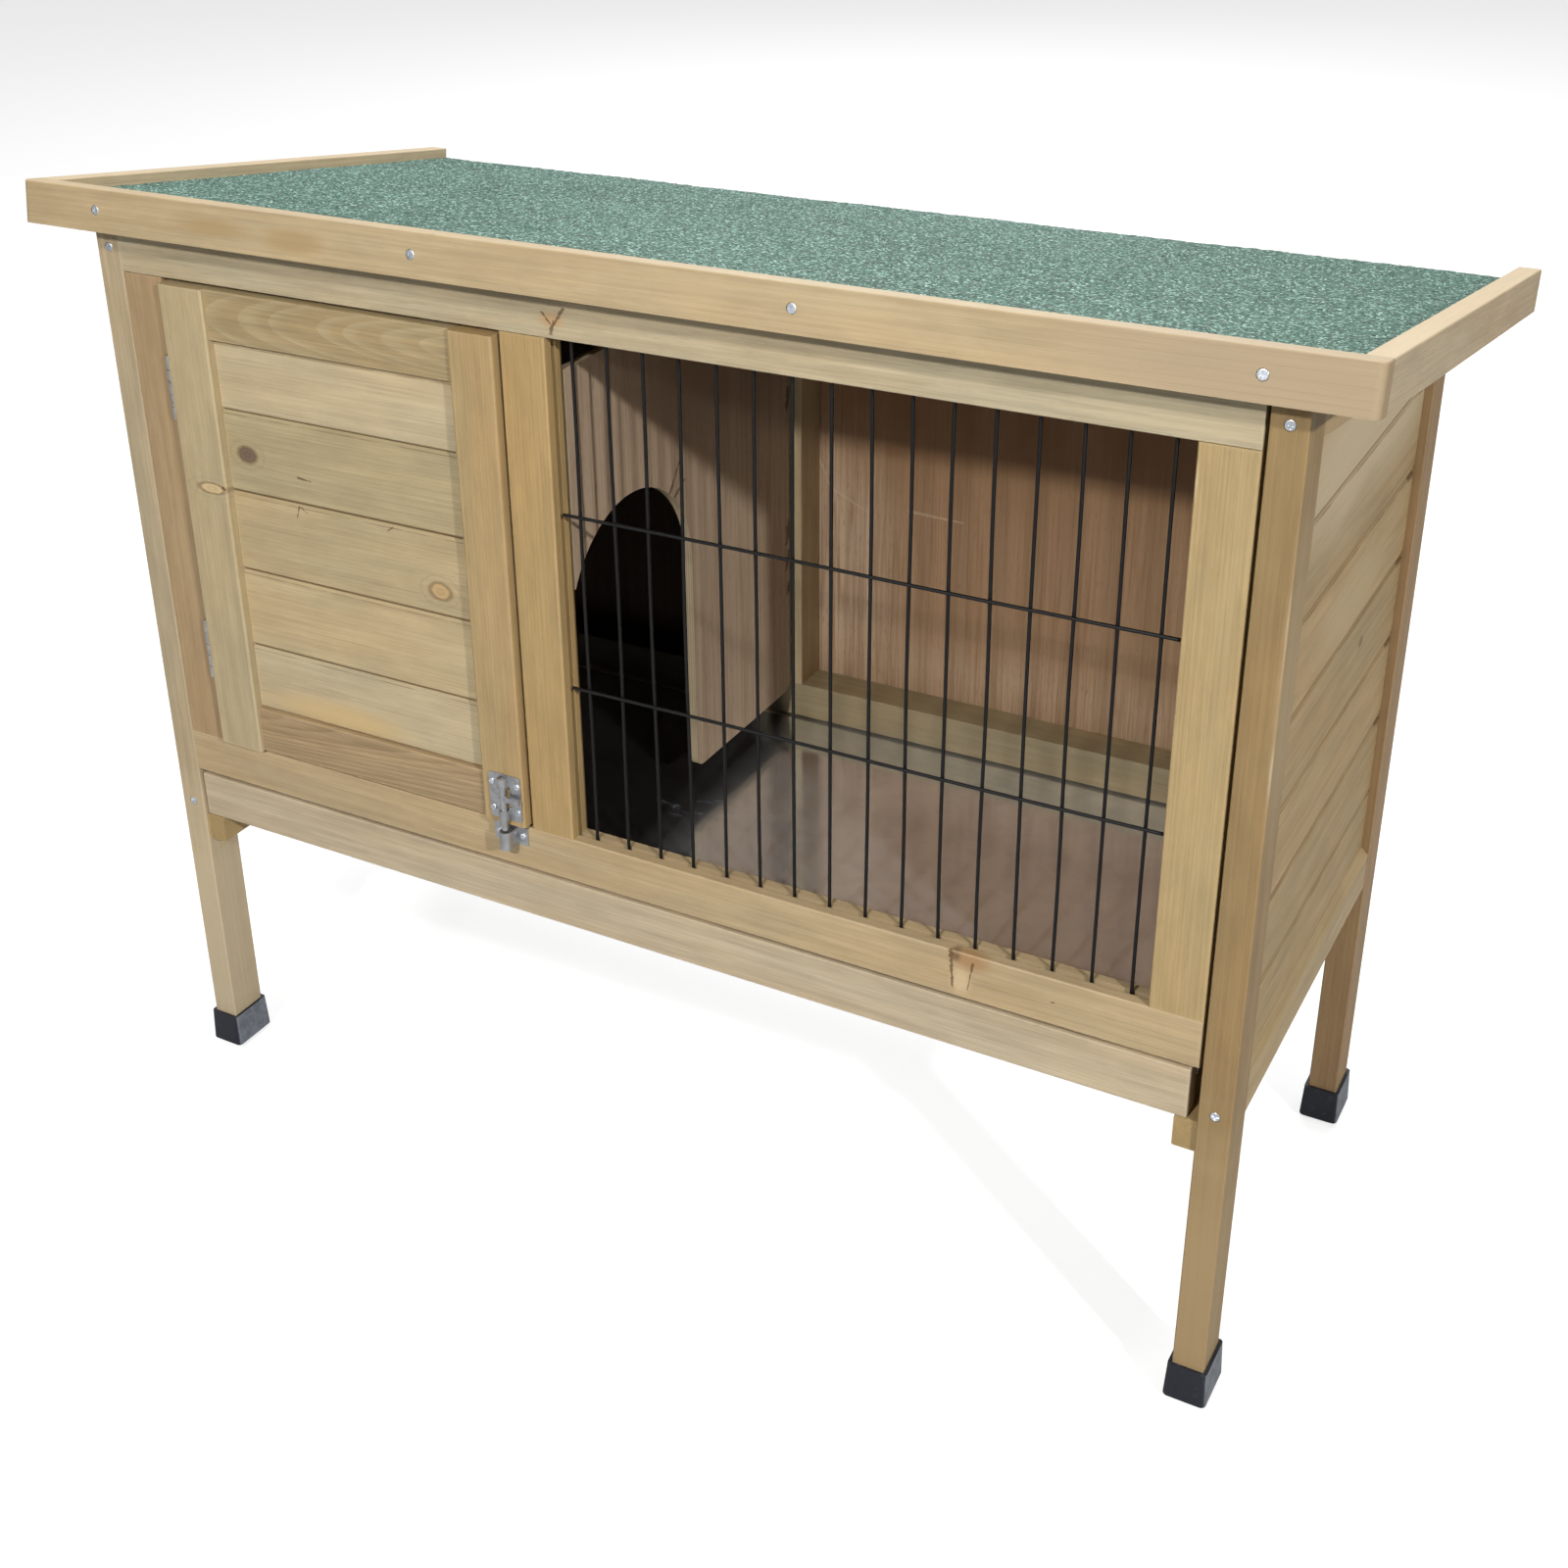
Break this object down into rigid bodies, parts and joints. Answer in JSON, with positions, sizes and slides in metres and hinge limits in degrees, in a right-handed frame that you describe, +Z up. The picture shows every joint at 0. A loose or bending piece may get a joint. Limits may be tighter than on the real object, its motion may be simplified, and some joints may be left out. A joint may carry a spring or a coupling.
{
  "type": "rabbit hutch",
  "caption": "Small wooden rabbit hutch on legs with a felted lean-to roof, hinged nest door, wire-fronted run, slide bolt and pull-out tray.",
  "frame": {"origin": "on the ground, under the middle of the roof", "axes": "+X along the hutch to the right seen from the front, -Y towards the front, +Z up"},
  "size_m": [0.908, 0.456, 0.7142],
  "materials": {
    "stained_fir": "planed fir, thin khaki-brown stain, satin",
    "stained_boards": "planed matchboard, thin khaki-brown stain, satin",
    "bare_plywood": "thin reddish plywood, unfinished",
    "mineral_felt": "green mineral granules on bitumen felt",
    "black_wire": "black coated welded wire",
    "galvanised_sheet": "galvanised sheet, cloudy reflections",
    "zinc_fittings": "bright zinc-plated pressed steel",
    "zinc_screws": "bright zinc-plated",
    "cap_plastic": "blue-black moulded plastic"
  },
  "bodies": {
    "hutch": {"back_batten": "stained_fir", "back_bottom_rail": "stained_fir", "back_left_foot_cap": "cap_plastic", "back_left_post": "stained_fir", "back_panel": "bare_plywood", "back_right_foot_cap": "cap_plastic", "back_right_post": "stained_fir", "back_top_rail": "stained_fir", "fascia_screws": "zinc_screws", "front_bottom_rail": "stained_fir", "front_left_foot_cap": "cap_plastic", "front_left_post": "stained_fir", "front_left_stile": "stained_fir", "front_mid_stile": "stained_fir", "front_right_foot_cap": "cap_plastic", "front_right_post": "stained_fir", "front_right_stile": "stained_fir", "front_top_rail": "stained_fir", "hinge_frame_leaves": "zinc_fittings", "hinge_frame_screws": "zinc_screws", "hinge_pins": "zinc_fittings", "keeper_screws": "zinc_screws", "latch_keeper": "zinc_fittings", "left_bottom_rail": "stained_fir", "left_side_boards": "stained_boards", "left_top_rail": "stained_fir", "left_tray_runner": "stained_fir", "partition": "bare_plywood", "post_screws": "zinc_screws", "right_bottom_rail": "stained_fir", "right_side_boards": "stained_boards", "right_top_rail": "stained_fir", "right_tray_runner": "stained_fir", "roof_board": "bare_plywood", "roof_fascia": "stained_fir", "roof_felt": "mineral_felt", "roof_left_trim": "stained_fir", "roof_right_trim": "stained_fir", "wire_panel": "black_wire"},
    "door": {"door_board_1": "stained_boards", "door_board_2": "stained_boards", "door_board_3": "stained_boards", "door_board_4": "stained_boards", "door_board_5": "stained_boards", "door_bottom_rail": "stained_fir", "door_hinge_stile": "stained_fir", "door_latch_stile": "stained_fir", "door_top_rail": "stained_fir", "hinge_door_leaves": "zinc_fittings", "hinge_door_screws": "zinc_screws", "latch_plate": "zinc_fittings", "latch_screws": "zinc_screws"},
    "bolt": {"latch_bolt": "zinc_fittings"},
    "tray": {"drawer_front": "stained_fir", "metal_tray": "galvanised_sheet", "tray_slides": "stained_fir"}
  },
  "joints": [
    {"name": "door_hinge", "type": "hinge", "parent": "hutch", "child": "door", "pos_m": [-0.362, -0.2045, 0.4735], "axis": [0, 0, -1], "range_deg": [0, 150]},
    {"name": "bolt_slide", "type": "slide", "parent": "door", "child": "bolt", "axis": [0, 0, 1], "range_m": [-0.006, 0.006]},
    {"name": "tray_slide", "type": "slide", "parent": "hutch", "child": "tray", "axis": [0, -1, 0], "range_m": [0, 0.28]}
  ]
}
